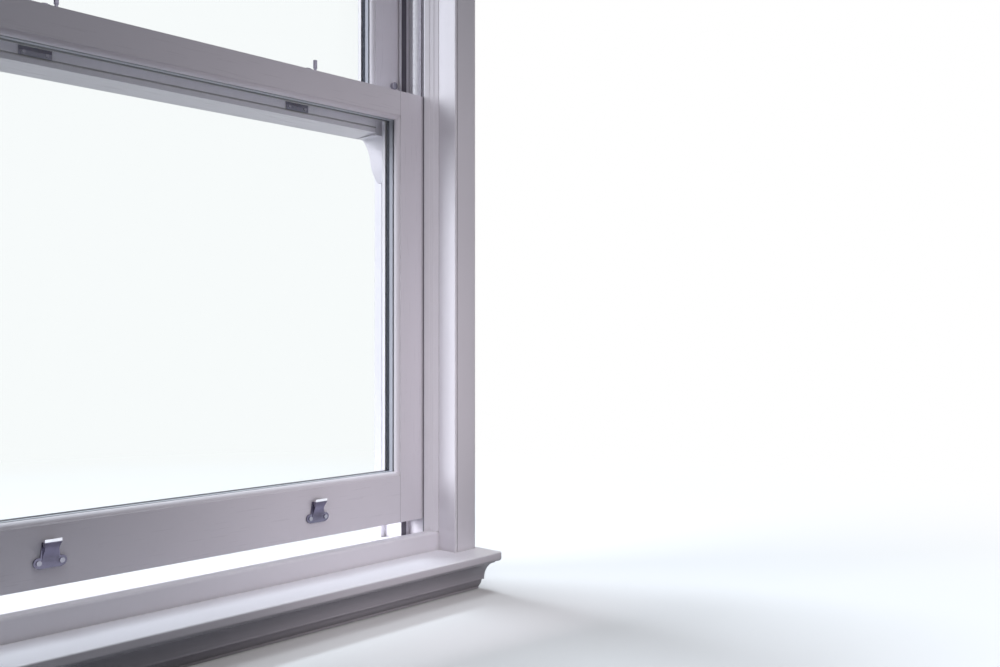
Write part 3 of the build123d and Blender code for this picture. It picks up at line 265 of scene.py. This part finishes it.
for word in ("left", "right"):
    finish_node(f"parting_bead_{word}", parting)
    finish_node(f"staff_bead_{word}", staff)


# Sashes: machined softwood stiles and rails, tenoned together and sprayed in the workshop,
# so the paint is smoother than on the frame. It has opened in a hairline at each shoulder.
SPRAYED = "#EAE6ED"
SPRAYED_GLOSS = 0.30
SPRAY_DEPTH = 0.00006
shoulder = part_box("lower_bottom_rail")[1].x
sprayed_level = satin_paint("sprayed_satin_paint_level", SPRAYED, "x", SPRAYED_GLOSS, SPRAY_DEPTH,
                            joint=shoulder)
sprayed_upright = satin_paint("sprayed_satin_paint_upright", SPRAYED, "z", SPRAYED_GLOSS,
                              SPRAY_DEPTH)
for name in ("lower_meeting_rail", "lower_bottom_rail", "lower_glazing_beads", "upper_top_rail",
             "upper_meeting_rail", "upper_glazing_beads"):
    finish_node(name, sprayed_level)
for sash in ("lower", "upper"):
    for word in ("left", "right"):
        finish_node(f"{sash}_stile_{word}", sprayed_upright)


# Panes: 4 mm float glass, clear with a trace of green, in sealed pairs. It mirrors more at a
# slant, and rain has left faint marks on it.
def float_glass(name, mark_strength):
    material = bpy.data.materials.new(name)
    material.use_nodes = True
    tree = material.node_tree
    tree.nodes.clear()
    place = add(tree, "ShaderNodeTexCoord").outputs["Object"]
    slant = add(tree, "ShaderNodeLayerWeight", {"Blend": 0.5})
    steep = add(tree, "ShaderNodeMath", {0: slant.outputs["Facing"], 1: 5.0}, operation="POWER")
    # 4% would be mirrored face on by bare glass; low-emissivity coated glass mirrors less
    mirrored_face_on = 0.012
    mirrored_at_a_slant = 0.6
    share = add(tree, "ShaderNodeMapRange", {"Value": steep.outputs[0], "To Min": mirrored_face_on,
                                             "To Max": mirrored_at_a_slant})
    through = add(tree, "ShaderNodeBsdfTransparent", {"Color": linear("#FDFEFE")})
    # float glass is wavy by a few micrometres over some 80 mm
    wave = add(tree, "ShaderNodeTexNoise", {"Vector": place, "Scale": 12.0, "Detail": 1.0})
    flow = add(tree, "ShaderNodeBump", {"Height": wave.outputs["Fac"], "Distance": 0.0002})
    mirror = add(tree, "ShaderNodeBsdfGlossy", {"Color": linear("#FFFFFF"), "Roughness": 0.01,
                                                "Normal": flow.outputs[0]})
    clear = add(tree, "ShaderNodeMixShader", {0: share.outputs[0], 1: through.outputs[0],
                                              2: mirror.outputs[0]})
    # dried drops are 2 to 6 mm across
    drops = add(tree, "ShaderNodeTexNoise", {"Vector": place, "Scale": 190.0, "Detail": 5.0})
    film = add(tree, "ShaderNodeMapRange", {"Value": drops.outputs["Fac"], "From Min": 0.52,
                                            "From Max": 0.75, "To Max": mark_strength})
    chalk = add(tree, "ShaderNodeBsdfDiffuse", {"Color": linear("#DDE2E0")})
    marked = add(tree, "ShaderNodeMixShader", {0: film.outputs[0], 1: clear.outputs[0],
                                               2: chalk.outputs[0]})
    add(tree, "ShaderNodeOutputMaterial", {"Surface": marked.outputs[0]})
    return material


inner_glass = float_glass("float_glass_indoors", 0.001)
outer_glass = float_glass("float_glass_outdoors", 0.003)
for sash in ("lower", "upper"):
    finish_node(f"{sash}_pane_inner", inner_glass)
    finish_node(f"{sash}_pane_outer", outer_glass)


# Spacers: a bar of mill-finished aluminium round each sealed unit, bedded in blue-black
# sealant. Both show through the inner pane, the sealant as a dark line by the outer pane.
def plain_finish(name, code, roughness, metallic=0.0, grain=400.0, spread=0.08, relief=0.00002,
                 band=None):
    """A solid finish that varies by its grain, in waves to the metre, in tone, gloss and relief.
    A band gives an axis, the place along it where another colour starts, and that colour."""
    material = bpy.data.materials.new(name)
    material.use_nodes = True
    tree = material.node_tree
    skin = tree.nodes["Principled BSDF"]
    skin.inputs["Metallic"].default_value = metallic
    place = add(tree, "ShaderNodeTexCoord").outputs["Object"]
    mottle = add(tree, "ShaderNodeTexNoise", {"Vector": place, "Scale": grain, "Detail": 5.0})
    base = linear(code)
    worn = [c * (1 - 2 * spread) for c in base[:3]] + [1]
    tone = add(tree, "ShaderNodeMix", {0: mottle.outputs["Fac"], 6: worn, 7: base},
               data_type="RGBA")
    if band:
        axis, start, second_code = band
        blend_width = 0.0004
        split = add(tree, "ShaderNodeSeparateXYZ", {0: place})
        past = add(tree, "ShaderNodeMapRange", {"Value": split.outputs[axis], "From Min": start,
                                                "From Max": start + blend_width})
        tone = add(tree, "ShaderNodeMix", {0: past.outputs[0], 6: tone.outputs[2],
                                           7: linear(second_code)}, data_type="RGBA")
    tree.links.new(tone.outputs[2], skin.inputs["Base Color"])
    dull = add(tree, "ShaderNodeMapRange", {"Value": mottle.outputs["Fac"], "From Min": 0.3,
                                            "From Max": 0.7, "To Min": roughness * (1 - 3 * spread),
                                            "To Max": roughness * (1 + 3 * spread)})
    tree.links.new(dull.outputs[0], skin.inputs["Roughness"])
    bump = add(tree, "ShaderNodeBump", {"Height": mottle.outputs["Fac"], "Distance": relief})
    tree.links.new(bump.outputs[0], skin.inputs["Normal"])
    return material


SEALANT_WIDTH = 0.0078
for sash in ("lower", "upper"):
    cavity_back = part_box(f"{sash}_spacer")[1].y
    bar = plain_finish(f"{sash}_spacer_bar", "#B4B5BF", 0.5, grain=900.0, spread=0.08,
                       band=("Y", cavity_back - SEALANT_WIDTH, "#161B2E"))
    finish_node(f"{sash}_spacer", bar)


# Spiral balances: white lacquered tubes screwed to the jambs, nylon bushes in their ends,
# and zinc plated rods and brackets in the sash grooves.
white_tube = plain_finish("white_lacquered_tube", "#E6E5EA", 0.28, grain=120.0, spread=0.03)
zinc = plain_finish("bright_zinc_plate", "#B9BCC2", 0.35, metallic=1.0, grain=600.0, spread=0.1)
nylon = plain_finish("natural_nylon", "#E3E0D2", 0.45, grain=500.0, spread=0.04)
for word in ("left", "right"):
    for sash in ("lower", "upper"):
        finish_node(f"{sash}_balance_tube_{word}", white_tube)
finish_node("balance_bushes", nylon)
finish_node("balance_tube_screws", zinc)
for sash in ("lower", "upper"):
    finish_node(f"{sash}_balance_rods", zinc)
    finish_node(f"{sash}_balance_brackets", zinc)


# Brush seals: grey polypropylene pile in a woven backing, fixed along the meeting rail's
# outdoor face and along the foot of the bottom rail.
pile = plain_finish("grey_brush_pile", "#76777B", 0.95, grain=1600.0, spread=0.25, relief=0.0004)
finish_node("lower_brush_seals", pile)


# Lifts, fasteners, keeps and studs: brass castings, polished and chromium plated. They are
# close to mirrors. Their darker purple-grey tone, in patches about 14 mm across, is a painted
# reflection of a dim room, and on the lifts a pale band along the lip is a painted highlight.
# the darker purple-grey base and its mottled patches are painted reflections of a dim room
chrome_painted_reflections = plain_finish("polished_chrome_plate_painted_reflections", "#9D9AAC", 0.12, metallic=1.0, grain=70.0,
                      spread=0.24, relief=0.000004)
# a pale band over the top 4.2 mm of each lift is a painted highlight on its lip, on chrome with
# painted reflections
PAINTED_HIGHLIGHT_HEIGHT = 0.0042
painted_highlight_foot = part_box("hook_lift_left")[1].z - PAINTED_HIGHLIGHT_HEIGHT
lift_chrome_painted_reflections_and_highlight = plain_finish("polished_chrome_lift_painted_reflections_and_highlight", "#8B879C", 0.14, metallic=1.0, grain=70.0,
                           spread=0.24, relief=0.000004, band=("Z", painted_highlight_foot, "#F7F6FB"))
screw_steel = plain_finish("bright_screw_steel", "#B3B1BD", 0.2, metallic=1.0, grain=300.0,
                           spread=0.12)
for name in ("furniture_screws", "keep_screws", "stop_studs"):
    finish_node(name, screw_steel)
for word in ("left", "right"):
    finish_node(f"hook_lift_{word}", lift_chrome_painted_reflections_and_highlight)
    for piece in ("fastener_base", "fastener_arm", "fastener_keep"):
        finish_node(f"{piece}_{word}", chrome_painted_reflections)
